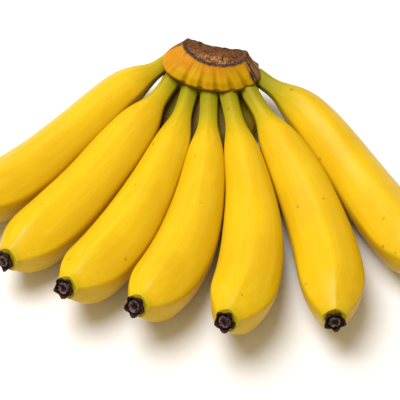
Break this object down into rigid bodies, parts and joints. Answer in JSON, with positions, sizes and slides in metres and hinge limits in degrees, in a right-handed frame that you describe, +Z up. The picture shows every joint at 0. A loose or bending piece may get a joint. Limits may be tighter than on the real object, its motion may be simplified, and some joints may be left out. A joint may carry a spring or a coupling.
{
  "type": "bunch of bananas",
  "caption": "Hand of ripe yellow bananas fanned out from one cut crown, lying on its bellies with the tips curling up and a dry dark blossom remnant on each tip.",
  "frame": {"origin": "middle of the bounding box, on the surface that the hand lies on", "axes": "+X across the fan of fingers, +Y from the tips towards the crown, +Z up"},
  "size_m": [0.2834, 0.2204, 0.0479],
  "materials": {
    "banana_skin": "satin",
    "crown_skin": "matte",
    "dry_blossom": "matte"
  },
  "bodies": {
    "root": {"crown": "crown_skin", "finger_1": "banana_skin", "finger_2": "banana_skin", "finger_3": "banana_skin", "finger_4": "banana_skin", "finger_5": "banana_skin", "finger_6": "banana_skin", "finger_7": "banana_skin", "blossom_tip_1": "dry_blossom", "blossom_tip_2": "dry_blossom", "blossom_tip_3": "dry_blossom", "blossom_tip_4": "dry_blossom", "blossom_tip_5": "dry_blossom", "blossom_tip_6": "dry_blossom", "blossom_tip_7": "dry_blossom"}
  },
  "joints": []
}
